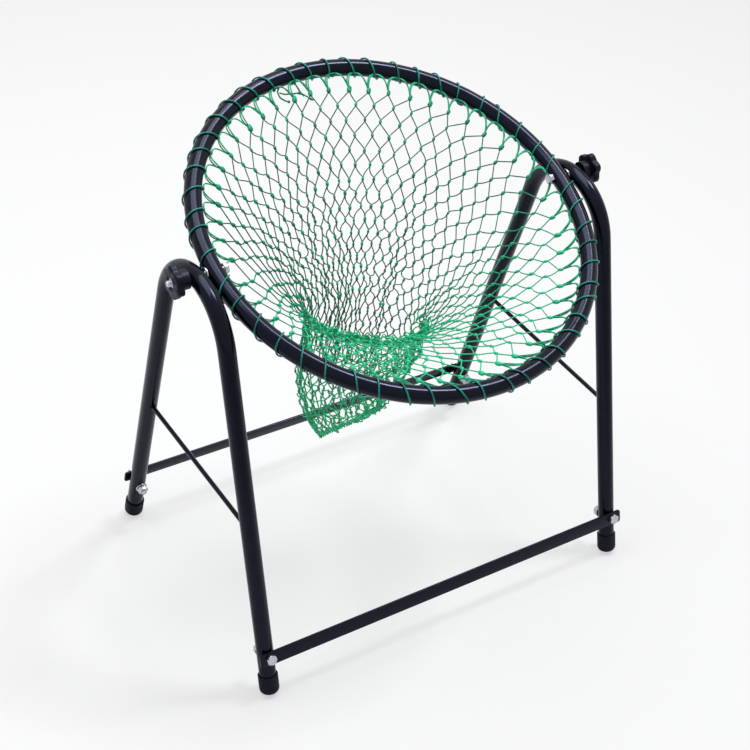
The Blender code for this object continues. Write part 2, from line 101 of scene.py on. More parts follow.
def deselect():
    if bpy.context.object and bpy.context.object.mode != "OBJECT":
        bpy.ops.object.mode_set(mode="OBJECT")
    bpy.ops.object.select_all(action="DESELECT")


def pick(piece):
    deselect()
    piece.select_set(True)
    bpy.context.view_layer.objects.active = piece


def applyMoves():
    bpy.ops.object.transform_apply(location=True, rotation=True, scale=True)


def added(primitive, **settings):
    # a new primitive, with its place and turn in its mesh
    deselect()
    primitive(**settings)
    applyMoves()
    return bpy.context.object


def disc(points, radius):
    return added(bpy.ops.mesh.primitive_circle_add, vertices=points, radius=radius,
                 fill_type="NGON")


def cylinder(points, radius, height):
    # stands on the origin
    return added(bpy.ops.mesh.primitive_cylinder_add, vertices=points, radius=radius,
                 depth=height, location=(0, 0, height / 2))


def ringTube(radius, thickRadius, points, roundPoints):
    return added(bpy.ops.mesh.primitive_torus_add, major_radius=radius,
                 minor_radius=thickRadius, major_segments=points, minor_segments=roundPoints)


def linked(name, data):
    piece = bpy.data.objects.new(name, data)
    bpy.context.scene.collection.objects.link(piece)
    return piece


def selectAll():
    bpy.ops.mesh.select_all(action="SELECT")


def edit(piece):
    # edit mode with all of the piece selected
    pick(piece)
    bpy.ops.object.mode_set(mode="EDIT")
    selectAll()


def selectBy(piece, kind, test):
    # in edit mode: selects verts, edges or faces by their middle and their direction
    bpy.ops.mesh.select_mode(type=kind)
    bpy.ops.mesh.select_all(action="DESELECT")
    mesh = bmesh.from_edit_mesh(piece.data)
    for item in {"VERT": mesh.verts, "EDGE": mesh.edges, "FACE": mesh.faces}[kind]:
        if kind == "VERT":
            middle, way = item.co, item.normal
        elif kind == "EDGE":
            a, b = (v.co for v in item.verts)
            middle, way = (a + b) / 2, (b - a).normalized()
        else:
            middle, way = item.calc_center_median(), item.normal
        if test(middle, way):
            item.select_set(True)
    mesh.select_flush_mode()
    bmesh.update_edit_mesh(piece.data)


def bevelRims(piece, radius, heights, **settings):
    # in edit mode: bevels the outer rims of a turned piece at these heights
    near = 0.0005
    selectBy(piece, "EDGE", lambda middle, way: abs(way.z) < 0.1
             and middle.xy.length > radius - near
             and min(abs(middle.z - height) for height in heights) < near / 5)
    bpy.ops.mesh.bevel(**settings)


def extrude(move):
    bpy.ops.mesh.extrude_region_move(TRANSFORM_OT_translate={"value": move})


def closeUp():
    # turns every face outwards and ends edit mode
    selectAll()
    bpy.ops.mesh.normals_make_consistent(inside=False)
    bpy.ops.object.mode_set(mode="OBJECT")


def applied(piece, name, kind, **settings):
    # adds a modifier and applies it
    pick(piece)
    modifier = piece.modifiers.new(name, kind)
    for key, value in settings.items():
        setattr(modifier, key, value)
    bpy.ops.object.modifier_apply(modifier=modifier.name)


def turnTo(direction):
    # brings local +Z to a direction
    return Vector((0, 0, 1)).rotation_difference(Vector(direction)).to_matrix()


def along(point, direction):
    # local +Z along a direction, origin at a point
    return Matrix.Translation(point) @ turnTo(direction).to_4x4()


def putAt(piece, matrix):
    # moves a piece modelled at the origin to its place, into its mesh
    pick(piece)
    piece.matrix_world = matrix
    applyMoves()
    return piece


def joined(pieces):
    deselect()
    for piece in pieces:
        piece.select_set(True)
    bpy.context.view_layer.objects.active = pieces[0]
    bpy.ops.object.join()
    return pieces[0]


def nodeOf(name):
    # the solid that a piece is named after, as footCapRearLeft is after foot_cap_rear_left
    return "".join("_" + letter.lower() if letter.isupper() else letter for letter in name)


def finish(piece, name, look, body, node=None, sharp=35):
    pick(piece)
    bpy.ops.object.shade_smooth_by_angle(angle=radians(sharp))
    piece.name = piece.data.name = name
    material, slot = looks[look]
    piece.data.materials.clear()
    piece.data.materials.append(material)
    if body:
        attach(piece, body)
    if node:
        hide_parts(node)
    return piece


def fit(blank, name, place, direction, spin, look, body, sharp=35):
    # a copy of a blank, with its own mesh, on its axle and turned about it
    part = linked(name, blank.data.copy())
    putAt(part, along(place, direction) @ Matrix.Rotation(spin, 4, "Z"))
    finish(part, name, look, body, nodeOf(name), sharp)


def newMaterial(name):
    material = bpy.data.materials.new(name)
    material.use_nodes = True
    tree = material.node_tree
    return material, tree, tree.nodes["Principled BSDF"]


def hardFinish(name, look, plain):
    # clouds vary its gloss and, where it has tones, its colour; a grain gives it relief
    material, tree, shader = newMaterial(name)
    coords = addNode(tree, "ShaderNodeTexCoord").outputs["Object"]
    clouds = addNode(tree, "ShaderNodeTexNoise",
                     {"Scale": 1000 / look["cloudMm"], "Detail": look["cloudDetail"]},
                     {"Vector": coords}).outputs["Fac"]
    least, most = look["roughness"]
    rough = addNode(tree, "ShaderNodeMapRange",
                    {"From Min": 0.3, "From Max": 0.7, "To Min": least, "To Max": most},
                    {"Value": clouds})
    links = {"Roughness": rough.outputs["Result"]}
    if "tones" in look:
        tone = addNode(tree, "ShaderNodeValToRGB", links={"Fac": clouds})
        for stop, (place, shade) in zip(tone.color_ramp.elements, look["tones"]):
            stop.position, stop.color = place, toLinear(shade)
        links["Base Color"] = tone.outputs["Color"]
    if "grainMm" in look:
        grain = addNode(tree, "ShaderNodeTexNoise",
                        {"Scale": 1000 / look["grainMm"], "Detail": look["grainDetail"]},
                        {"Vector": coords})
        bump = addNode(tree, "ShaderNodeBump",
                       {"Strength": look["relief"], "Distance": look["depthMm"] / 1000},
                       {"Height": grain.outputs["Fac"]})
        links["Normal"] = bump.outputs["Normal"]
    feed(tree, shader, plain, links)
    return material


def glossPowderCoat():
    # Baked black powder on steel tube: blue-black, wet gloss, faint orange peel.
    return hardFinish("glossPowderCoat", {
        "tones": ((0.35, "#05050a"), (0.75, "#0b0b14")), "roughness": (0.12, 0.23),
        "cloudMm": 14, "cloudDetail": 5,
        "grainMm": 2.2, "grainDetail": 2, "relief": 0.12, "depthMm": 0.2,
    }, {"IOR": 1.52, "Specular IOR Level": 0.24, "Specular Tint": toLinear("#c3d0ff")})


def brightZincPlate():
    # Zinc-plated steel with a clear passivate: cool silver, slightly cloudy.
    return hardFinish("brightZincPlate", {
        "tones": ((0.3, "#9fa3ab"), (0.6, "#c9ccd1")), "roughness": (0.21, 0.39),
        "cloudMm": 2.5, "cloudDetail": 4,
    }, {"Metallic": 1})


def mouldedBlack(name, color, roughness, grainMm, depthMm):
    # Carbon-black plastic or rubber from a spark-eroded mould: a fine even grain,
    # with larger scuffs that vary its gloss.
    return hardFinish(name, {
        "roughness": (roughness - 0.06, roughness + 0.1), "cloudMm": 9, "cloudDetail": 4,
        "grainMm": grainMm, "grainDetail": 3, "relief": 0.35, "depthMm": depthMm,
    }, {"Base Color": toLinear(color), "IOR": 1.5, "Specular IOR Level": 0.25,
        "Specular Tint": toLinear("#c8d0ff")})


def twistedTwine(name, bright, deep, roughness, tintMm, slack=None):
    # Twisted polyethylene fibre, dyed in the mass: waxy, with a fine laid twist.
    # Given a front colour, it is painted paler towards the front of the net and darker
    # towards the rear: painted light and shade, not a change in the twine.
    # The real lay is about 1 mm long; it is drawn at 2.6 mm so that it shows.
    look = {"layMm": 2.6, "paintedLightFrom": 0.04, "paintedLightTo": -0.11}
    material, tree, shader = newMaterial(name)
    coords = addNode(tree, "ShaderNodeTexCoord").outputs["Object"]
    lay = addNode(tree, "ShaderNodeTexWave",
                  {"Scale": 1000 / look["layMm"], "Distortion": 1.5, "Detail": 2},
                  {"Vector": coords}, bands_direction="DIAGONAL")
    tint = addNode(tree, "ShaderNodeTexNoise", {"Scale": 1000 / tintMm, "Detail": 3},
                   {"Vector": coords})
    tone = addNode(tree, "ShaderNodeValToRGB", links={"Fac": tint.outputs["Fac"]})
    for stop, place, shade in zip(tone.color_ramp.elements, (0.36, 0.58), (deep, bright)):
        stop.position, stop.color = place, toLinear(shade)
    color = tone.outputs["Color"]
    # painted light and shade: the front colour (the slack argument) is mixed in along Y,
    # towards the front of the net
    if slack:
        places = addNode(tree, "ShaderNodeSeparateXYZ", links={"Vector": coords})
        front = addNode(tree, "ShaderNodeMapRange",
                        {"From Min": look["paintedLightFrom"], "From Max": look["paintedLightTo"]},
                        {"Value": places.outputs["Y"]})
        mixed = addNode(tree, "ShaderNodeMix", {7: toLinear(slack)},
                        {"Factor": front.outputs["Result"], 6: color}, data_type="RGBA")
        color = mixed.outputs[2]
    bump = addNode(tree, "ShaderNodeBump", {"Strength": 0.5, "Distance": 0.0003},
                   {"Height": lay.outputs["Fac"]})
    feed(tree, shader, {"Roughness": roughness, "IOR": 1.51, "Specular IOR Level": 0.35},
         {"Base Color": color, "Normal": bump.outputs["Normal"]})
    return material


# each finish, with the name of a slot
looks = {
    "paint": (glossPowderCoat(), "gloss_black_paint"),
    "zinc": (brightZincPlate(), "zinc_plated_steel"),
    "rubber": (mouldedBlack("mouldedRubber", "#0b0b10", 0.55, 0.9, 0.08), "black_rubber"),
    "plastic": (mouldedBlack("mouldedNylon", "#0a0b12", 0.4, 0.7, 0.05), "black_plastic"),
}
# one green twine in lit and shaded copies: the funnel's twine is painted darker, as painted
# shade, and the pocket's (slack) twine painted brighter, as painted light; where a row ends
# with a third colour, that is the painted light towards the front of the net
for look, name, *colors in (
        ("twine", "twisted", "#067452", "#033e2e", 0.45, 11, "#18c68c"),
        ("slackTwine", "slack", "#24dc9c", "#08905e", 0.42, 6),
        ("knotTwine", "knotted", "#12b07a", "#088058", 0.45, 12, "#1fd498"),
        ("rimTwine", "doubled", "#1ac48e", "#0b9068", 0.42, 9)):
    looks[look] = twistedTwine(name + "PolyethyleneTwine", *colors), "green_twine"
looks["cord"] = (twistedTwine("laidPolyethyleneCord", "#1a9c8c", "#0a665c", 0.42, 16),
                 "green_cord")
looks["cordEnds"] = looks["rimTwine"][0], "green_cord"
print("materials made")


def legLine():
    # foot and bend tangent of the front leg's centreline, in the Y-Z plane
    centreZ = stand["pivotHeight"] - stand["bendRadius"]
    half = stand["footSpread"] / 2
    reach = hypot(half, centreZ)
    slope = atan2(centreZ, half) + asin(stand["bendRadius"] / reach)
    length = sqrt(reach ** 2 - stand["bendRadius"] ** 2)
    foot = Vector((0, -half, 0))
    return foot, foot + Vector((0, cos(slope), sin(slope))) * length


foot, tangent = legLine()
legUp = (tangent - foot).normalized()
legOut = Vector((0, -legUp.z, legUp.y))


def flipped(vector, end):
    # end is -1 at the front and +1 at the rear
    return Vector((vector.x, -end * vector.y, vector.z))


def legPoint(side, end, height):
    point = flipped(foot + legUp * (height / legUp.z), end)
    point.x = side * frameX
    return point


def sideFrame(side, name):
    # A ring at the front foot, pulled up the leg, spun round the bend, pulled down.
    size = {"points": 40, "bendSteps": 26, "aboveGround": 0.006, "mergeWithin": 0.00002}
    start = legPoint(side, -1, size["aboveGround"])
    top = Vector((side * frameX, tangent.y, tangent.z))
    centre = Vector((side * frameX, 0, stand["pivotHeight"] - stand["bendRadius"]))
    first = atan2(tangent.z - centre.z, tangent.y)
    tube = added(bpy.ops.mesh.primitive_circle_add, vertices=size["points"], radius=tubeRadius)
    edit(putAt(tube, along(start, legUp)))
    extrude(top - start)
    bpy.ops.mesh.spin(steps=size["bendSteps"], angle=pi - 2 * (pi - first),
                      center=centre, axis=(1, 0, 0))
    extrude(legPoint(side, 1, size["aboveGround"]) - flipped(top, 1))
    selectAll()
    bpy.ops.mesh.remove_doubles(threshold=size["mergeWithin"])
    closeUp()
    applied(tube, "wall", "SOLIDIFY", thickness=stand["tubeWall"], offset=-1)
    finish(tube, "sideFrame" + name, "paint", "stand", "frame_" + name.lower())


def braceRod(side, name):
    # A straight rod between the legs, with a lumpy weld bead at each end.
    size = {"radius": 0.003, "points": 24, "frontHeight": 0.227, "rearHeight": 0.240,
            "sunk": 0.0004, "bead": (0.0037, 0.0013, 28, 10), "lumps": 0.00035}
    low = legPoint(side, -1, size["frontHeight"])
    high = legPoint(side, 1, size["rearHeight"])
    way = (high - low).normalized()
    reach = tubeRadius - size["sunk"]
    low += way * reach / abs(way.dot(legOut))
    high -= way * reach / abs(way.dot(flipped(legOut, 1)))
    rod = putAt(disc(size["points"], size["radius"]), along(low, way))
    edit(rod)
    extrude(high - low)
    closeUp()
    pieces = [rod]
    for point, end, seed in ((low, -1, 3), (high, 1, 4)):
        bead = ringTube(*size["bead"])
        edit(bead)
        bpy.ops.transform.vertex_random(offset=size["lumps"], seed=seed + (side > 0) * 5)
        pieces.append(putAt(bead, along(point, flipped(legOut, end))))
    finish(joined(pieces), name, "paint", "stand", nodeOf(name))


def footCap(side, end, name):
    # A turned rubber cup: rounded underneath, a soft lip round its mouth.
    size = {"radius": 0.013, "length": 0.028, "rounding": 0.008, "floor": 0.004,
            "flat": 0.0009, "lip": 0.0006, "ground": 0.00005}
    up = flipped(legUp, end)
    sink = (size["radius"] - size["rounding"]) * legUp.y + size["rounding"] - size["flat"]
    base = sink / up.z - size["rounding"]
    cap = cylinder(48, size["radius"], size["length"])
    edit(cap)
    selectBy(cap, "FACE", lambda middle, way: way.z > 0.9)
    bpy.ops.mesh.inset(thickness=size["radius"] - tubeRadius - stand["touch"])
    extrude((0, 0, size["floor"] - size["length"]))
    bevelRims(cap, size["radius"], (0,), offset=size["rounding"] * 0.98, segments=7,
              profile=0.5)
    bevelRims(cap, size["radius"], (size["length"],), offset=size["lip"], segments=3)
    edit(putAt(cap, along(legPoint(side, end, 0) + up * base, up)))
    bpy.ops.mesh.bisect(plane_co=(0, 0, size["ground"]), plane_no=(0, 0, 1), use_fill=True,
                        clear_inner=True)
    closeUp()
    finish(cap, name, "rubber", "stand", nodeOf(name))


def stretcherBar(end, name, height):
    # Flat strip with rounded corners and slightly broken edges.
    size = {"width": 0.019, "corner": 0.004, "overhang": 0.003, "edge": 0.0005}
    thickness = stand["barThickness"]
    out = flipped(legOut, end)
    place = legPoint(0, end, height) + out * (tubeRadius + stand["touch"] + thickness / 2)
    half = frameX + tubeRadius + size["overhang"]
    bar = added(bpy.ops.mesh.primitive_cube_add, size=1)
    bar.scale = (2 * half, size["width"], thickness)
    applyMoves()
    edit(bar)
    selectBy(bar, "EDGE", lambda middle, way: abs(way.z) > 0.9)
    bpy.ops.mesh.bevel(offset=size["corner"], segments=8)
    selectBy(bar, "EDGE", lambda middle, way: abs(way.z) < 0.1
             and abs(middle.z) > thickness * 0.49)
    bpy.ops.mesh.bevel(offset=size["edge"], segments=3)
    across = Vector((1, 0, 0))
    turn = Matrix((across, out.cross(across), out)).transposed().to_4x4()
    putAt(bar, Matrix.Translation(place) @ turn)
    finish(bar, name, "paint", "stand", nodeOf(name), sharp=50)


for name, side in sides:
    sideFrame(side, name)
    braceRod(side, "braceRod" + name)
    for label, end, height in ends:
        footCap(side, end, "footCap" + label + name)
for label, end, height in ends:
    stretcherBar(end, label.lower() + "Stretcher", height)
print("side frames and bars made")


# bolts, nuts and washers, all alike
hardware = {
    "acrossFlats": 0.013,
    "headHeight": 0.0053,
    "nutHeight": 0.0065,
    "pitch": 0.00125,
    "threadDepth": 0.00055,
    "threadTurns": 6,
    "threadEnd": 0.97,       # the last turn's taper
    "stub": 0.0030,          # of thread past the nut
    "washerRadius": 0.008,
    "washerThickness": 0.0016,
    "washerEdge": 0.0003,
}


def hexBlank(height, rims):
    # A hexagon cut by a cone at its rims, as a turned bar is.
    half = hardware["acrossFlats"] / 2
    size = {"coneRadius": half * 1.14, "chamfer": hardware["acrossFlats"] * 0.11,
            "edge": 0.00018}
    blank = cylinder(6, half / cos(pi / 6), height)
    cone = cylinder(48, size["coneRadius"], height)
    edit(cone)
    bevelRims(cone, size["coneRadius"], rims, offset=size["chamfer"], segments=2, profile=0.35)
    applied(blank, "chamfer", "BOOLEAN", operation="INTERSECT", solver="EXACT", object=cone)
    bpy.data.objects.remove(cone)
    applied(blank, "brokenEdge", "BEVEL", width=size["edge"], segments=2,
            limit_method="ANGLE", angle_limit=radians(38))
    return blank


def threadedRod(length):
    # Shank below z = 0; its last turns are cut with ring-shaped thread grooves.
    radius, pitch, turns = stand["boltRadius"], hardware["pitch"], hardware["threadTurns"]
    rod = disc(32, radius)
    edit(rod)
    extrude((0, 0, pitch * turns - length))
    inner = 1 - hardware["threadDepth"] / radius
    for grow in [inner, 1 / inner] * (turns - 1) + [inner, hardware["threadEnd"]]:
        extrude((0, 0, -pitch / 2))
        bpy.ops.transform.resize(value=(grow, grow, 1), center_override=(0, 0, 0))
    closeUp()
    return rod


def boltBlank(length):
    height = hardware["headHeight"]
    return joined([hexBlank(height, (height,)), threadedRod(length)])


def ringBlank(outer, thickness):
    # A disc with a bolt's bore, rims slightly rounded.
    bore = stand["boltRadius"] + stand["boltPlay"]
    ring = cylinder(48, outer, thickness)
    edit(ring)
    selectBy(ring, "FACE", lambda middle, way: abs(way.z) > 0.9)
    bpy.ops.mesh.inset(thickness=outer - bore)
    bpy.ops.mesh.delete(type="FACE")
    selectBy(ring, "VERT", lambda middle, way: middle.xy.length < bore + 0.0002)
    bpy.ops.mesh.select_mode(type="EDGE")
    bpy.ops.mesh.bridge_edge_loops()
    bevelRims(ring, outer, (0, thickness), offset=hardware["washerEdge"], segments=3)
    closeUp()
    return ring


def stretcherFasteners():
    # Bolt head on the bar outside, washer and nut on the inner side of the leg.
    touch = stand["touch"]
    headAt = tubeRadius + touch + stand["barThickness"] + touch
    washerAt = tubeRadius + touch
    nutAt = washerAt + hardware["washerThickness"] + touch
    nutHeight = hardware["nutHeight"]
    bolt = boltBlank(headAt + nutAt + nutHeight + hardware["stub"])
    nut = hexBlank(nutHeight, (0, nutHeight))
    washer = ringBlank(hardware["washerRadius"], hardware["washerThickness"])
    spins = {"FrontLeft": 0.2, "FrontRight": 0.9, "RearLeft": 0.55, "RearRight": 1.3}
    for name, side in sides:
        for label, end, height in ends:
            corner = label + name
            axle, out, spin = legPoint(side, end, height), flipped(legOut, end), spins[corner]
            for kind, blank, way, away, turn in (("Bolt", bolt, out, headAt, spin),
                                                 ("Nut", nut, -out, nutAt, spin),
                                                 ("Washer", washer, -out, washerAt, 0)):
                fit(blank, "stretcher" + kind + corner, axle + way * away, way, turn, "zinc",
                    "stand")
    for blank in (bolt, nut, washer):
        bpy.data.objects.remove(blank)


stretcherFasteners()
print("stretcher fasteners made")


def starKnob():
    # Hub below, lobed grip above, a shallow dish round the insert on its outer face.
    size = {"lobes": 6, "radius": 0.021, "dip": 0.0035, "body": 0.0095, "hub": 0.0115,
            "hubRadius": 0.012, "edge": 0.0022, "edgeSteps": 5, "points": 144,
            "dish": ((0, 0.0098), (-0.0008, 0.0090), (0, 0.0071), (0.0006, 0.0065))}
    edge, dip, steps = size["edge"], size["dip"], size["edgeSteps"]
    knob = disc(size["points"], size["hubRadius"])

    def lift(height, reach, dip=0):
        # extrudes the rim and draws it to a lobed outline
        extrude((0, 0, height))
        mesh = bmesh.from_edit_mesh(knob.data)
        for vert in mesh.verts:
            if vert.select:
                turn = atan2(vert.co.y, vert.co.x)
                wave = 0.5 - 0.5 * cos(size["lobes"] * turn)
                radius = reach - dip * wave ** 1.1
                vert.co.x, vert.co.y = radius * cos(turn), radius * sin(turn)
        bmesh.update_edit_mesh(knob.data)

    edit(knob)
    extrude((0, 0, size["hub"]))
    lift(0, size["radius"] - edge, dip)
    for step in range(1, steps + 1):
        turn = step / steps * pi / 2
        rise = cos(turn - pi / steps / 2) - cos(turn)
        lift(edge * rise * 0.7, size["radius"] - edge + edge * sin(turn), dip)
    lift(size["body"] - edge * 1.7, size["radius"], dip)
    for step in range(1, steps + 1):
        turn = step / steps * pi / 2
        lift(edge / steps, size["radius"] - edge + edge * cos(turn),
             dip * (1 - 0.25 * step / steps))
    for height, reach in size["dish"]:
        lift(height, reach)
    extrude((0, 0, -size["body"]))
    closeUp()
    return knob


def buildPivots():
    # From inside the hoop outwards: bolt head, hoop, washer, side frame, star knob.
    size = {"washerGap": 0.0001, "insertRadius": 0.0062}
    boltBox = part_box("pivot_bolt_right")
    head = boltBox[0].x + hardware["headHeight"]
    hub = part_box("star_knob_right")[0].x
    washerIn = hoopRadius + tubeRadius + size["washerGap"]
    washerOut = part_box("pivot_washer_right")[1].x
    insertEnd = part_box("knob_insert_right")[1].x
    # piece, blank, how far out, facing, turns at the left and right, finish, body, smoothing
    blanks = (
        ("pivotBolt", boltBlank(boltBox[1].x - head), head, -1, (8, 18), "zinc", "stand", 35),
        ("pivotWasher", ringBlank(hardware["washerRadius"], washerOut - washerIn), washerIn, 1,
         (0, 0), "zinc", "stand", 35),
        ("knobInsert", ringBlank(size["insertRadius"], insertEnd - hub), hub, 1,
         (0, 0), "zinc", "insert_", 35),
        ("starKnob", starKnob(), hub, 1, (12, 0), "plastic", "knob_", 40))
    for name, side in sides:
        out = Vector((side, 0, 0))
        for kind, blank, away, way, spins, look, body, sharp in blanks:
            fit(blank, kind + name, pivot + out * away, out * way,
                radians(spins[side > 0]), look,
                body if body == "stand" else body + name.lower(), sharp)
    for kind, blank, *rest in blanks:
        bpy.data.objects.remove(blank)


buildPivots()
print("pivots and knobs made")


def buildHoop():
    # A rolled tube ring, drilled for the pivot bolts, with a dressed butt weld.
    size = {"points": 216, "tubePoints": 40, "weldTurn": radians(38), "weld": 0.00035,
            "weldWidth": 0.0022}
    hoop = ringTube(hoopRadius, tubeRadius, size["points"], size["tubePoints"])
    edit(hoop)
    mesh = bmesh.from_edit_mesh(hoop.data)
    for vert in mesh.verts:
        turn = atan2(vert.co.y, vert.co.x)
        away = (turn - size["weldTurn"]) * hoopRadius / size["weldWidth"]
        core = Vector((cos(turn), sin(turn), 0)) * hoopRadius
        vert.co += (vert.co - core).normalized() * size["weld"] * exp(-away ** 2)
    bmesh.update_edit_mesh(hoop.data)
    drill = added(bpy.ops.mesh.primitive_cylinder_add, vertices=32,
                  radius=stand["boltRadius"] + stand["boltPlay"], depth=4 * hoopRadius,
                  rotation=(0, pi / 2, 0))
    applied(hoop, "drilled", "BOOLEAN", operation="DIFFERENCE", solver="EXACT", object=drill)
    bpy.data.objects.remove(drill)
    putAt(hoop, Matrix.Translation(pivot) @ Matrix.Rotation(stand["hoopTilt"], 4, "X"))
    finish(hoop, "hoopTube", "paint", "hoop", "hoop_tube")


lacing = {
    "wraps": 50,
    "radius": 0.0011,
    "pointsPerWrap": 28,
    "start": 14.2,           # wraps from the right pivot to the cord's first end
    "missing": 0.35,         # of a wrap, between its two ends
    "gap": 0.00008,          # under the cord where it is tight
    "slack": 0.0005,         # and at most this much more
    "drift": 0.0035,         # along the tube, as wound by hand
    "steady": (0.06, 0.21),  # radians from a pivot at which the drift begins and is whole
    "hitch": (0.0017, 0.0026, 0.0022),
    "hitchPlace": (0.0124, -0.0012),    # in from the tube's core, and up
    "hitchDrift": 0.004,
    "noHitch": 0.05,         # radians either side of a pivot bolt
    "clearPivot": 0.36,      # how much sparser the wraps lie beside the pivots
    "clearWidth": 0.10,      # over this many radians
    "seed": 5,
}


inside = 0.25    # of a wrap on from the underside, where the cord passes inside the tube


def wrapTable():
    # turn round the hoop against wraps laid, sparser beside both pivots
    turns = np.linspace(-pi / 2, 1.5 * pi, 4001)
    near = np.minimum(np.abs(turns), np.abs(turns - pi))
    density = 1 - lacing["clearPivot"] * np.exp(-(near / lacing["clearWidth"]) ** 2)
    laid = np.concatenate([[0], np.cumsum((density[1:] + density[:-1]) / 2)])
    laid = laid / laid[-1] * lacing["wraps"]
    laid -= np.interp(0, turns, laid) - round(float(np.interp(0, turns, laid)))
    return turns, laid


def turnOfWrap(count):
    # the turn at which that many wraps are laid, counted so that pivots are whole
    turns, laid = wrapTable()
    whole = lacing["wraps"]
    count = np.asarray(count, float)
    loops = np.floor((count - laid[0]) / whole)
    return np.interp(count - loops * whole, laid, turns) + loops * 2 * pi


def hoopPoint(turn, reach, height):
    out = Vector((cos(turn), 0, 0)) + hoopRear * sin(turn)
    return pivot + out * reach + hoopUp * height


def pointAt(line, length, at):
    # the point at that length along a line, or one for each of several lengths
    return np.stack([np.interp(at, length, line[:, axis]) for axis in range(3)], -1)


def tubeMesh(name, lines, radius, resolution):
    # one mesh of round cords, each along its own points
    curve = bpy.data.curves.new(name, "CURVE")
    curve.dimensions = "3D"
    curve.bevel_depth = radius
    curve.bevel_resolution = resolution
    curve.use_fill_caps = True
    for line in lines:
        spline = curve.splines.new("POLY")
        spline.points.add(len(line) - 1)
        points = np.hstack([np.array(line), np.ones((len(line), 1))]).astype(np.float32)
        spline.points.foreach_set("co", points.ravel())
    pick(linked(name, curve))
    bpy.ops.object.convert(target="MESH")
    return bpy.context.object


def buildLacing():
    # The cord goes under the hoop at both pivots and over the tube from inside out.
    random = np.random.default_rng(lacing["seed"])
    steps = lacing["wraps"] * lacing["pointsPerWrap"]
    counts = np.linspace(0.0, lacing["wraps"] - lacing["missing"], steps)
    turns = turnOfWrap(counts + lacing["start"])
    wraps = -pi / 2 - 2 * pi * (counts + lacing["start"])
    halves = np.arange(0, lacing["wraps"] + 1, 0.5)
    slack = np.interp(counts, halves, random.uniform(0, lacing["slack"], len(halves)))
    shift = np.interp(counts, halves, random.normal(0, lacing["drift"], len(halves)))
    near = np.abs(np.mod(turns + 0.5, pi) - 0.5)
    shift *= np.interp(near, lacing["steady"], (0, 1))
    points = []
    for turn, wrap, loose, drift in zip(turns, wraps, slack, shift):
        lift = tubeRadius + lacing["radius"] + lacing["gap"] + loose
        points.append(hoopPoint(turn + drift / hoopRadius, hoopRadius + lift * cos(wrap),
                                lift * sin(wrap)))
    cord = tubeMesh("lacingCord", [points], lacing["radius"], 2)
    finish(cord, "lacingCord", "cord", "hoop", "lacing_cord", sharp=60)


def knotMesh(name, knots, seed):
    # many copies of one lumpy knot in a single mesh, each with its place, turn and size
    size = {"segments": 8, "rings": 5, "lumps": 0.16}
    model = added(bpy.ops.mesh.primitive_uv_sphere_add, segments=size["segments"],
                  ring_count=size["rings"], radius=1)
    edit(model)
    bpy.ops.transform.vertex_random(offset=size["lumps"], seed=seed)
    bpy.ops.object.mode_set(mode="OBJECT")
    shape = np.array([v.co for v in model.data.vertices])
    faces = [list(p.vertices) for p in model.data.polygons]
    bpy.data.objects.remove(model)
    verts, polygons = [], []
    for place, turn, stretch in knots:
        base = len(verts) * len(shape)
        verts.append((shape * stretch) @ np.array(turn).T + np.array(place))
        polygons.extend([[base + k for k in face] for face in faces])
    mesh = bpy.data.meshes.new(name)
    mesh.from_pydata(np.vstack(verts).tolist(), [], polygons)
    mesh.update()
    return linked(name, mesh)


def buildHitches():
    # every wrap is hitched round the rim twine where it passes inside the tube
    random = np.random.default_rng(lacing["seed"] + 1)
    inwards, up = lacing["hitchPlace"]
    knots = []
    for k in range(lacing["wraps"]):
        turn = float(turnOfWrap(k + inside)) + random.normal(0, lacing["hitchDrift"])
        if abs(remainder(turn, pi)) < lacing["noHitch"]:
            continue
        inward = -(hoopPoint(turn, 1, 0) - pivot).normalized()
        knots.append((hoopPoint(turn, hoopRadius - inwards, up),
                      Matrix((inward, inward.cross(hoopUp), hoopUp)).transposed(),
                      np.array(lacing["hitch"]) * random.uniform(0.85, 1.25, 3)))
    finish(knotMesh("lacingHitches", knots, 6), "lacingHitches", "cord", "hoop", sharp=70)


def buildTails():
    # the two ends of the lacing are knotted together near the top and left hanging;
    # each point is a turn in degrees, a reach from the hoop's centre and a height
    routes = {
        "loop": ((99.6, 0.2450, -0.002), (100.9, 0.2410, -0.007), (100.6, 0.2345, -0.012),
                 (99.3, 0.2300, -0.015), (98.2, 0.2270, -0.016)),
        "bridge": ((100.2, 0.2390, -0.008), (98.4, 0.2372, -0.012), (95.6, 0.2345, -0.013),
                   (93.6, 0.2324, -0.012), (92.6, 0.2290, -0.013)),
        "back": ((95.2, 0.2440, 0.000), (94.0, 0.2405, -0.005), (93.3, 0.2350, -0.010),
                 (93.0, 0.2310, -0.012), (92.3, 0.2270, -0.014)),
        "tail": ((93.4, 0.2324, -0.012), (92.2, 0.2280, -0.013), (91.4, 0.2234, -0.013),
                 (90.8, 0.2166, -0.012), (90.2, 0.2150, -0.010)),
    }
    knots = ((93.4, 0.2322, -0.012, 1.1), (98.2, 0.2270, -0.016, 0.9),
             (90.9, 0.2190, -0.0125, 0.8))    # and how big each knot is
    knotSize = np.array((0.0024, 0.0019, 0.0022))
    lines = []
    for route in routes.values():
        steps = np.linspace(0, len(route) - 1, 17)
        smooth = pointAt(np.array(route), np.arange(len(route)), steps)
        smooth[1:-1] = (smooth[:-2] + 2 * smooth[1:-1] + smooth[2:]) / 4
        lines.append([hoopPoint(radians(t), reach, up) for t, reach, up in smooth])
    tails = tubeMesh("lacingTails", lines, lacing["radius"], 2)
    lumps = knotMesh("lumps", [(hoopPoint(radians(t), reach, up), Matrix.Identity(3),
                                knotSize * grow) for t, reach, up, grow in knots], 3)
    finish(joined([tails, lumps]), "lacingTails", "cordEnds", "hoop", sharp=70)


buildHoop()
buildLacing()
buildHitches()
buildTails()
print("hoop and lacing made")


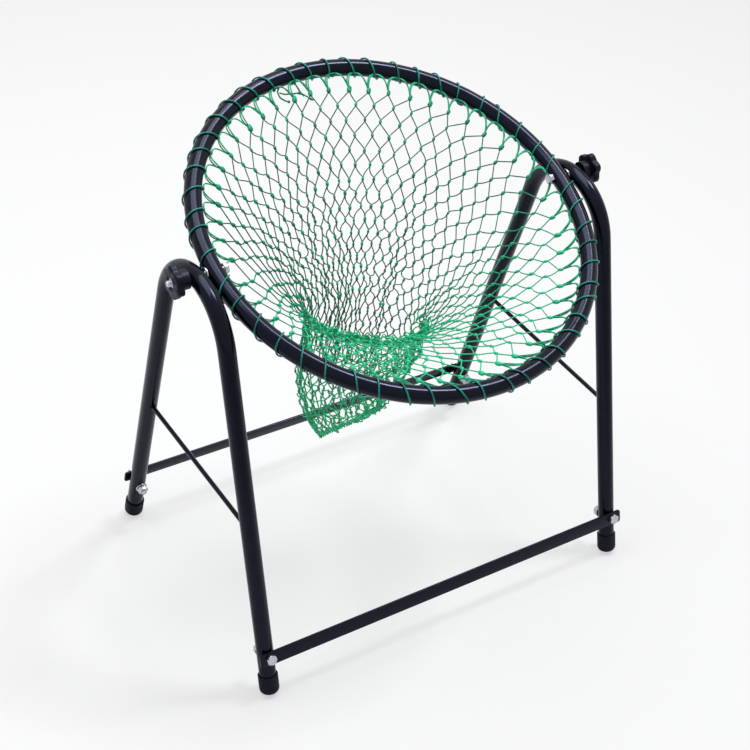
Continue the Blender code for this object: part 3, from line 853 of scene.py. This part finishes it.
net = {
    "rows": 26,              # half meshes from the rim towards the pocket's seam
    "firstRow": 0.0222,      # down the net from knot row to knot row, at the rim
    "lastRow": 0.0135,       # and at the throat, where the meshes hang slack
    "bar": 0.0225,           # twine from knot to knot
    "twine": 0.00080,
    "pocketTwine": 0.00090,
    "rimTwine": 0.00094,
    "rim": (0.01152, 0.005376),      # the net hangs from here: in from the tube's core, down
    "holdReach": 0.0122,
    "holdRise": radians(14),    # above the tube's inside at the rear, below in front
    "firstSkew": 0.22,       # the first knots are pulled back round by this much of a mesh
    "untidy": (0.0009, 0.0026),      # knots off their place where tight, and where slack
    "bowing": (0.8, 1.3),    # how much the way in which tight and slack twine bows varies
    "bowLimit": (0.0036, 0.0056),
    "bowDown": -0.35,
    "funnelCurve": 1.5,
    "throat": (-0.033, 0.380, 0.087, 0.054, 0.026),    # x, z, half width, half depth, slope
    "belly": (-0.047, 0.300, 0.084, 0.044, 0.008),
    "waist": (-0.055, 0.243, 0.058, 0.027, 0.0),
    "seam": (-0.050, 0.216, 0.045, 0.003, -0.007),
    "folds": ((181, 14, 0.6), (150, 12, 0.62), (38, 10, 0.62), (-6, 16, 0.62),
              (92, 75, 0.45)),       # turn and width in degrees, strength
    "slackZone": (0.003, 0.015),     # slack below the throat plus this, in front of this
    "knot": (0.0022, 0.0019, 0.0034),
    "knotHalf": 0.0023,      # twines run side by side through half a knot
    "knotGrow": {"first": 1.35, "slack": 0.75, "perRow": -0.012, "pocket": 0.72},
    "pocketMeshes": 32,      # the pocket is knotted wider than the funnel
    "pocketRows": 8,
    "pocketDrop": (0.052, 0.088),    # it starts this far below the throat, front and rear
    "pocketUntidy": (0.02, 0.0025),  # in radians round, and in metres at the top
    "overlap": (-0.006, -0.004),     # funnel twines and knots run on below the pocket's top
    "rigidTo": 0.016,        # a depth below the hoop's plane
    "hangsFrom": 0.42,       # and a place in the net's fall
    "seed": 11,
}


def ringOf(values, turn):
    x, z, wide, deep, slope = values
    return np.stack([x + wide * np.cos(turn), deep * np.sin(turn), z - slope * np.cos(turn)],
                    -1)


def rimOf(turn):
    inwards, down = net["rim"]
    out = np.stack([np.cos(turn), np.sin(turn) * hoopRear.y, np.sin(turn) * hoopRear.z], -1)
    return np.array(pivot) + out * (hoopRadius - inwards) - np.array(hoopUp) * down


def holdOf(turn):
    # where a wrap pulls the rim twine against the inside of the tube
    lean = net["holdRise"] * sin(turn)
    return np.array(hoopPoint(turn, hoopRadius - net["holdReach"] * cos(lean),
                              net["holdReach"] * sin(lean)))


def meridian(turn, samples=48):
    # rim to throat to seam at one turn, with the length along it and at the throat
    fall = np.linspace(0, 1, samples)[:, None]
    rim, throat = rimOf(turn), ringOf(net["throat"], turn)
    funnel = rim + (throat - rim) * fall
    funnel[:, 2] = (rim[2] + (throat[2] - rim[2]) * fall ** net["funnelCurve"])[:, 0]
    rings = np.array([ringOf(net[k], turn) for k in ("throat", "belly", "waist", "seam")])
    t = np.linspace(0, 1, 13)[1:, None]
    path = [funnel]
    for k in range(3):
        a, b = rings[k], rings[k + 1]
        before = rings[k - 1] if k else 2 * a - b
        after = rings[k + 2] if k < 2 else 2 * b - a
        path.append(0.5 * (2 * a + (b - before) * t
                           + (2 * before - 5 * a + 4 * b - after) * t ** 2
                           + (3 * a - before - 3 * b + after) * t ** 3))
    line = np.vstack(path)
    steps = np.linalg.norm(np.diff(line, axis=0), axis=1)
    length = np.concatenate([[0], np.cumsum(steps)])
    return line, length, length[samples - 1]


def foldPull(turn):
    # the gathered net folds: its columns draw together at a few turns
    pull = 0
    for degrees, width, strength in net["folds"]:
        away = remainder(turn - radians(degrees), 2 * pi)
        pull -= strength * away * exp(-(away / radians(width)) ** 2)
    return pull


def netNodes():
    # knot places, row by row; odd rows sit half a mesh round
    random = np.random.default_rng(net["seed"])
    count = lacing["wraps"]
    first, last = net["firstRow"], net["lastRow"]
    rows = np.zeros((net["rows"] + 1, count, 3))
    for j in range(net["rows"] + 1):
        for i in range(count):
            place = i + 0.5 * (j % 2) - (net["firstSkew"] if j == 1 else 0)
            turn = float(turnOfWrap(place + inside))
            if j == 0:
                rows[j, i] = holdOf(turn)
                continue
            line, length, funnel = meridian(turn)
            # rows draw closer down the funnel, then share what is left of the pocket
            near = funnel * log(first / last) / (first - last)
            if j <= near:
                fall = 1 - exp((last - first) * j / funnel)
                at = funnel * first / (first - last) * fall
            else:
                at = funnel + (j - near) / (net["rows"] - near) * (length[-1] - funnel)
            turn += foldPull(turn) * min(1, at / funnel) ** 2
            line, length, funnel = meridian(turn)
            rows[j, i] = pointAt(line, length, at)
    # hand-tied: knots sit a little off
    for j in range(1, net["rows"]):
        loose = np.array([net["untidy"][hangsLoose(point)] for point in rows[j]])
        rows[j] += random.normal(0, 1, (count, 3)) * loose[:, None]
    return rows


def pocketTop(turn):
    # height at which the pocket's meshes take over; the rear wall runs on further
    rear = np.clip(1.4 * np.sin(turn), 0, 1)
    near, far = net["pocketDrop"]
    return ringOf(net["throat"], turn)[..., 2] - near - (far - near) * rear


def topAlong(turn, line, length):
    # the length along a meridian at which it reaches the pocket's top
    return np.interp(-float(pocketTop(turn)), -line[:, 2], length)


def throatTurn(point):
    x, z, wide, deep, slope = net["throat"]
    return atan2(point[1] / deep, (point[0] - x) / wide)


def aboveTop(point):
    return point[2] - float(pocketTop(throatTurn(point)))


def hangsLoose(point):
    # below the gathered front of the throat
    above, front = net["slackZone"]
    throat = ringOf(net["throat"], throatTurn(point))
    return bool(point[2] < throat[2] + above and point[1] < front)


def pocketNodes():
    random = np.random.default_rng(net["seed"] + 6)
    count, last = net["pocketMeshes"], net["pocketRows"]
    aside, off = net["pocketUntidy"]
    rows = np.zeros((last + 1, count, 3))
    for j in range(last + 1):
        for i in range(count):
            turn = 2 * pi * (i + 0.5 * (j % 2)) / count + random.normal(0, aside)
            line, length, funnel = meridian(turn)
            top = topAlong(turn, line, length)
            rows[j, i] = pointAt(line, length, top + j / last * (length[-1] - top))
            if 0 < j < last:
                rows[j, i] += random.normal(0, 1, 3) * off * (1 - 0.6 * j / last)
    return rows


def netLines(rows):
    # every twine runs down the net through one knot in each row
    last, count = rows.shape[:2]
    return [[(j, (start + (j // 2 if way > 0 else -((j + 1) // 2))) % count)
             for j in range(last)] for way in (1, -1) for start in range(count)]


def upTheNet(rows):
    # which way the net runs up at each knot
    rise = np.zeros_like(rows)
    rise[1:-1] = rows[:-2] - rows[2:]
    rise[1] = rows[1] - rows[3]
    rise[0], rise[-1] = rise[1], rise[-2]
    return rise / np.linalg.norm(rise, axis=2, keepdims=True)


def sagged(a, b, slackLength, pull, pieces, most):
    # a bar between two knots; twine longer than its span bows to one side
    span = np.linalg.norm(b - a)
    bow = sqrt(3 * span * (slackLength - span) / 8) if slackLength > span else 0
    t = np.linspace(0, 1, pieces + 1)[1:, None]
    return a + (b - a) * t + pull * min(bow, most) * 4 * t * (1 - t)


def twineRuns(rows, first, stop=None):
    # the twines as polylines: those pulled tight, and those that hang loose
    random = np.random.default_rng(net["seed"] + first)
    rise = upTheNet(rows) * net["knotHalf"]
    centre = np.array([net["throat"][0], 0, 0])
    bar = net["bar"] - 2 * net["knotHalf"]
    runs = [], []
    for knots in netLines(rows):
        before = None
        for (ja, ia), (jb, ib) in zip(knots[first:], knots[first + 1:]):
            a, b = rows[ja, ia] - rise[ja, ia], rows[jb, ib] + rise[jb, ib]
            middle = (a + b) / 2
            if stop is not None and aboveTop(middle) < stop:
                break
            loose = stop is None or hangsLoose(middle)
            out = middle - centre
            out[2] = 0
            out /= np.linalg.norm(out) + 1e-9
            side = np.cross(out, (0, 0, 1))
            spread = net["bowing"][loose]
            pull = side * random.normal(0, spread) + out * random.normal(0, spread / 2)
            pull += np.array([0, 0, net["bowDown"]])
            pull /= max(1, np.linalg.norm(pull))
            if loose != before:
                runs[loose].append([])
                before = loose
            run = runs[loose][-1]
            run.extend([rows[ja, ia], a])
            run.extend(sagged(a, b, bar, pull, 3, net["bowLimit"][loose]))
            run.append(rows[jb, ib])
    return runs


def rimArches(rows):
    # Each rim mesh is a doubled loop from knot to knot, over the tube's inside;
    # on the left its longer side is pulled tight and lies single.
    size = {"points": 15, "apart": (0.0007, 0.0011), "apartAtRear": 0.0010, "drift": 0.0008,
            "fullness": (0.66, 0.9), "singleLeftOf": -0.12, "singleFrom": 0.42 * pi}
    random = np.random.default_rng(net["seed"] + 3)
    arches = []
    for i in range(rows.shape[1]):
        a, hold, b = rows[1, i - 1], rows[0, i], rows[1, i]
        middle, half = (a + b) / 2, (b - a) / 2
        rise = hold - middle
        across = np.cross(half, rise)
        across /= np.linalg.norm(across)
        rear = max(0, hold[1] / hoopRadius)
        apart = random.uniform(*size["apart"]) + size["apartAtRear"] * rear
        drift = rise / np.linalg.norm(rise) * random.normal(0, size["drift"])
        for way, full in zip((1, -1), size["fullness"]):
            single = way < 0 and hold[0] < size["singleLeftOf"]
            t = np.linspace(size["singleFrom"] if single else 0, pi, size["points"])
            x = -np.sign(np.cos(t)) * np.abs(np.cos(t)) ** full
            y = np.abs(np.sin(t)) ** full
            wander = np.outer(4 * y * (1 - y), across * apart * way + drift)
            arches.append(middle + np.outer(x, half) + np.outer(y, rise) + wander)
    return arches


def gatherLines():
    # crumpled twine where the front of the throat is drawn in, and the joining round
    size = {"strands": 10, "points": 130, "from": (-0.25, 0.25), "to": (-0.45, -0.05),
            "wander": (0.0011, 0.0019), "waves": (5, 11, 19, 31, 44), "in": 0.0004,
            "drop": (-0.009, 0.003), "ripple": 0.0012, "ripples": 23, "ringPoints": 161}
    random = np.random.default_rng(net["seed"] + 4)
    lines = []
    for k in range(size["strands"]):
        turns = np.linspace(pi + random.uniform(*size["from"]),
                            2 * pi + random.uniform(*size["to"]), size["points"])
        out = np.stack([np.cos(turns), np.sin(turns), 0 * turns], -1)
        waves = [sum(random.normal(0, most) * np.sin(f * turns + random.uniform(0, 6.3))
                     for f in size["waves"]) for most in size["wander"]]
        drop = random.uniform(*size["drop"])
        lines.append(ringOf(net["throat"], turns) + out * (waves[0] - size["in"])[:, None]
                     + np.outer(waves[1] + drop, (0, 0, 1)))
    ring = []
    for turn in np.linspace(0, 2 * pi, size["ringPoints"]):
        line, length, funnel = meridian(turn)
        ripple = size["ripple"] * sin(size["ripples"] * turn)
        ring.append(pointAt(line, length, topAlong(turn, line, length) + ripple))
    return lines + [ring]


def buildKnots(rows, bag):
    # one small knot at every crossing, set along the fall of the net
    random = np.random.default_rng(net["seed"] + 2)
    grown = net["knotGrow"]
    knots = []
    for grid, first, last in ((rows, 1, net["rows"]), (bag, 0, net["pocketRows"])):
        rise = upTheNet(grid)
        for j in range(first, last):
            for i in range(grid.shape[1]):
                point = grid[j, i]
                if grid is rows and aboveTop(point) < net["overlap"][1]:
                    continue
                if grid is bag:
                    grow = grown["pocket"]
                elif j == 1:
                    grow = grown["first"]
                else:
                    grow = grown["slack"] if hangsLoose(point) else 1 + grown["perRow"] * j
                knots.append((point, turnTo(rise[j, i]),
                              np.array(net["knot"]) * grow * random.uniform(0.85, 1.2)))
    return finish(knotMesh("netKnots", knots, 2), "netKnots", "knotTwine", None, sharp=70)


def buildSeam():
    # the pocket's bottom is whipped shut with a spiral of twine along its seam
    size = {"turns": 26, "steps": 12, "radius": 0.0009, "deep": 0.0030, "high": 0.0026,
            "apart": 0.0011}
    x, z, wide, deep, slope = net["seam"]
    count = size["turns"] * size["steps"]
    spiral = []
    for k in range(count + 1):
        part = k / count
        place = -1 + 2 * part
        turn = 2 * pi * k / size["steps"]
        spiral.append((x + wide * place * 1.02 + 0.0006 * sin(turn * 0.7),
                       size["deep"] * cos(turn) + 0.001 * sin(9 * part),
                       z - slope * place + size["high"] * sin(turn)))
    cords = [spiral]
    for offset in (-size["apart"], size["apart"]):
        cords.append([(x + wide * a, offset,
                       z - slope * a + 0.0008 * sin(25 * a + offset * 900))
                      for a in np.linspace(-1.03, 1.03, 40)])
    piece = tubeMesh("netSeam", cords, size["radius"], 1)
    return finish(piece, "netSeam", "slackTwine", None, sharp=70)


def buildNet():
    rows, bag = netNodes(), pocketNodes()
    tight, slack = twineRuns(rows, 1, net["overlap"][0])
    pieces = []
    # the funnel's twine is the painted-shade copy; the pocket and the gather use the
    # painted-light copy
    for name, lines, radius, look, node in (
            ("netFunnelTwine", tight, net["twine"], "twine", "net_funnel"),
            ("netPocketTwine", slack + twineRuns(bag, 0)[1], net["pocketTwine"], "slackTwine",
             "net_pocket"),
            ("netRimLoops", rimArches(rows), net["rimTwine"], "rimTwine", None),
            ("netGather", gatherLines(), net["pocketTwine"], "slackTwine", None)):
        pieces.append(finish(tubeMesh(name, lines, radius, 1), name, look, None, node,
                             sharp=70))
    pieces += [buildKnots(rows, bag), buildSeam()]
    for piece in pieces:
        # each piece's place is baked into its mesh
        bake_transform(piece)


buildNet()
print("net made")


def buildFloor():
    look = {"color": "#fafafa", "size": 16, "lit": 0.38}
    floor = added(bpy.ops.mesh.primitive_plane_add, size=look["size"])
    floor.name = "floor"
    material, tree, shader = newMaterial("paleFloor")
    feed(tree, shader, {"Base Color": toLinear(look["color"]), "Roughness": 0.9,
                        "Specular IOR Level": 0})
    # seen directly, over half of its tone is its own, so that it stays even to the top
    rays = addNode(tree, "ShaderNodeLightPath")
    seen = addNode(tree, "ShaderNodeMath", {1: 1 - look["lit"]},
                   {0: rays.outputs["Is Camera Ray"]}, operation="MULTIPLY")
    even = addNode(tree, "ShaderNodeEmission", {"Color": toLinear(look["color"])})
    mix = addNode(tree, "ShaderNodeMixShader", links={
        "Fac": seen.outputs[0], 1: shader.outputs["BSDF"], 2: even.outputs["Emission"]})
    feed(tree, tree.nodes["Material Output"], links={"Surface": mix.outputs["Shader"]})
    floor.data.materials.append(material)


def addLamp(name, kind, place, target, power, **shape):
    lamp = bpy.data.lights.new(name, kind)
    lamp.energy = power
    lamp.color = toLinear("#fbfcff")[:3]
    for key, value in shape.items():
        setattr(lamp, key, value)
    holder = linked(name, lamp)
    holder.location = place
    way = Vector(target) - Vector(place)
    holder.rotation_euler = way.to_track_quat("-Z", "Y").to_euler()
    holder.visible_camera = False


def buildLights():
    # A small key high on the right lays one streak all round the hoop, and a broad
    # softbox overhead greys the outer halves of the tubes beside it.
    addLamp("key", "SUN", (0.47, 0, 0.88), (0, 0, 0), 1.5, angle=radians(13))
    addLamp("softbox", "AREA", (-0.1, 0.55, 2.6), (0, 0.05, 0.4), 51, shape="RECTANGLE",
            size=2.4, size_y=1.3)


def buildWorld():
    # dim to the object, pale where it is seen or reflected
    look = {"fill": 0.08, "seen": 0.8}
    world = bpy.data.worlds.new("studio")
    bpy.context.scene.world = world
    world.use_nodes = True
    tree = world.node_tree
    rays = addNode(tree, "ShaderNodeLightPath").outputs
    seen = rays["Is Camera Ray"]
    for ray in ("Is Glossy Ray", "Is Transmission Ray"):
        seen = addNode(tree, "ShaderNodeMath", links={0: seen, 1: rays[ray]},
                       operation="MAXIMUM").outputs[0]
    strength = addNode(tree, "ShaderNodeMapRange",
                       {"To Min": look["fill"], "To Max": look["seen"]}, {"Value": seen})
    feed(tree, tree.nodes["Background"], {"Color": (1, 1, 1, 1)},
         {"Strength": strength.outputs["Result"]})


def buildCamera():
    # the photograph's viewpoint: direction, roll and distance in metres
    shot = {"azimuth": -35.68, "elevation": 38.23, "roll": 4.86, "distance": 2.12362,
            "target": (-0.00265, 0.00484, 0.182), "focal": 1551.54, "image": 750,
            "middle": (375, 430)}
    a, e, r = (radians(shot[k]) for k in ("azimuth", "elevation", "roll"))
    back = Vector((sin(a) * cos(e), -cos(a) * cos(e), sin(e)))
    right = Vector((cos(a), sin(a), 0))
    up = back.cross(right)
    across = right * cos(r) + up * sin(r)
    upright = up * cos(r) - right * sin(r)
    data = bpy.data.cameras.new("camera")
    data.lens = shot["focal"] / shot["image"] * data.sensor_width
    data.shift_x = (shot["image"] / 2 - shot["middle"][0]) / shot["image"]
    data.shift_y = (shot["middle"][1] - shot["image"] / 2) / shot["image"]
    data.clip_start, data.clip_end = 0.05, 50
    camera = linked("camera", data)
    place = Vector(shot["target"]) + back * shot["distance"]
    turn = Matrix((across, upright, back)).transposed().to_4x4()
    camera.matrix_world = Matrix.Translation(place) @ turn
    bpy.context.scene.camera = camera


buildFloor()
buildWorld()
buildLights()
buildCamera()
bpy.context.scene.view_settings.view_transform = "Standard"
print("floor, light and camera set")
